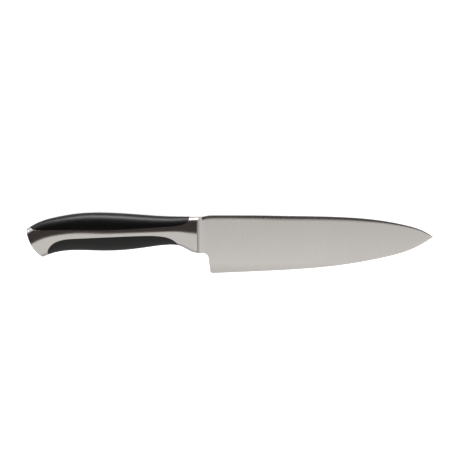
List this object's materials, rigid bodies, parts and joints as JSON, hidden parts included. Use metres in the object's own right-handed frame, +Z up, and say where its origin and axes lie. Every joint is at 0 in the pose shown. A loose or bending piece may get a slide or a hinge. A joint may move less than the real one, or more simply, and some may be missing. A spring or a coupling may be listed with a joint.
{
  "type": "chef knife",
  "caption": "Chef's knife with a broad curved blade, a bolster, and a contoured steel-framed handle with black grip inlays.",
  "frame": {"origin": "middle of the bounding box's base, on the table that the knife rests on", "axes": "+X along the knife towards the tip, +Y across the blade towards the spine, +Z up from the table"},
  "size_m": [0.2896, 0.0458, 0.0197],
  "materials": {
    "blade_steel": "fine vertical grind",
    "handle_steel": "satin",
    "black_inlay": "satin moulded",
    "core_plastic": "as moulded",
    "rivet_steel": "turned"
  },
  "bodies": {
    "root": {"blade": "blade_steel", "handle_shell_right": "handle_steel", "handle_shell_left": "handle_steel", "butt_plate": "handle_steel", "upper_inlay": "black_inlay", "lower_inlay": "black_inlay", "core_right": "core_plastic", "core_left": "core_plastic", "rear_rivet": "rivet_steel", "front_rivet": "rivet_steel"}
  },
  "joints": []
}
